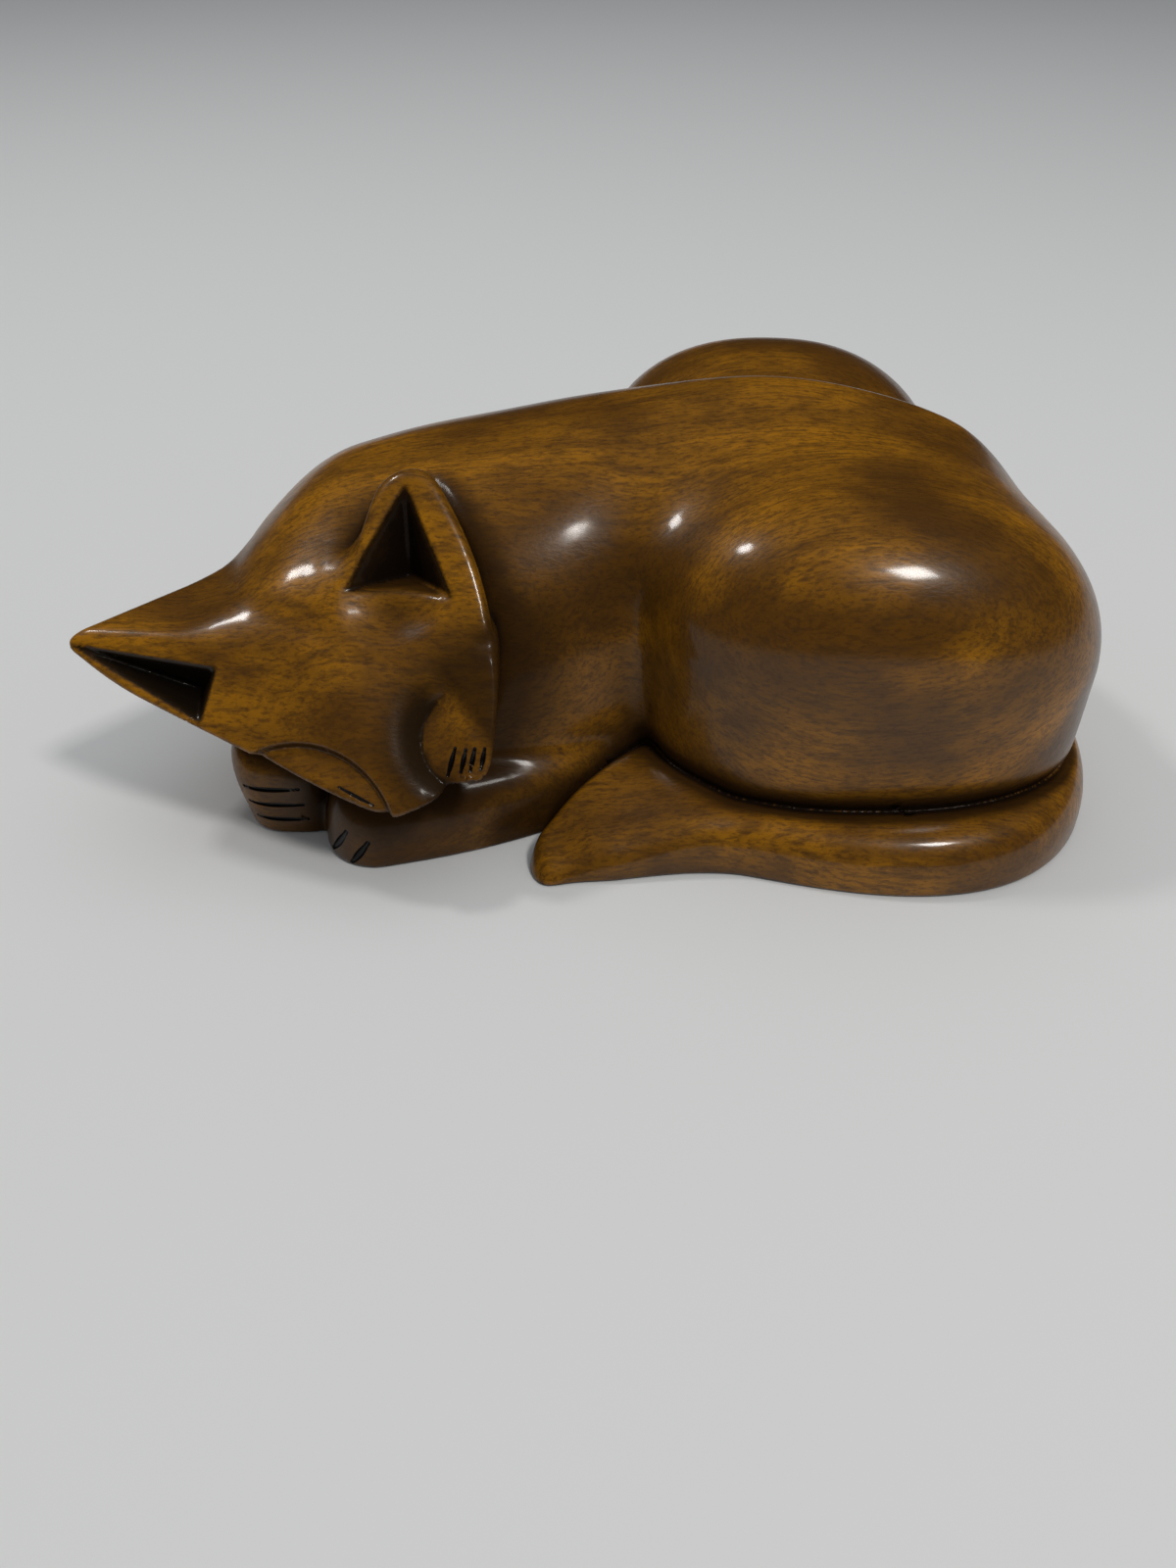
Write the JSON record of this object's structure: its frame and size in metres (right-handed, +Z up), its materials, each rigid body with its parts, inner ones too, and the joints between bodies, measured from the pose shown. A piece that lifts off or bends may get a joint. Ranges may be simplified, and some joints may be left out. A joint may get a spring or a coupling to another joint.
{
  "type": "carved wooden cat figurine",
  "caption": "Sleeping cat carved from one block of wood, curled with its head on its paws and its tail along its side, standing on a flat underside.",
  "frame": {"origin": "middle of the underside, on the surface that the figurine stands on", "axes": "+X from the head to the rump, +Y from the side with the face and the tail to the far side, +Z up"},
  "size_m": [0.184, 0.1272, 0.0657],
  "materials": {
    "wood": "stained amber brown with darker stain in the cuts, under a satin lacquer"
  },
  "bodies": {
    "root": {"cat": "wood"}
  },
  "joints": []
}
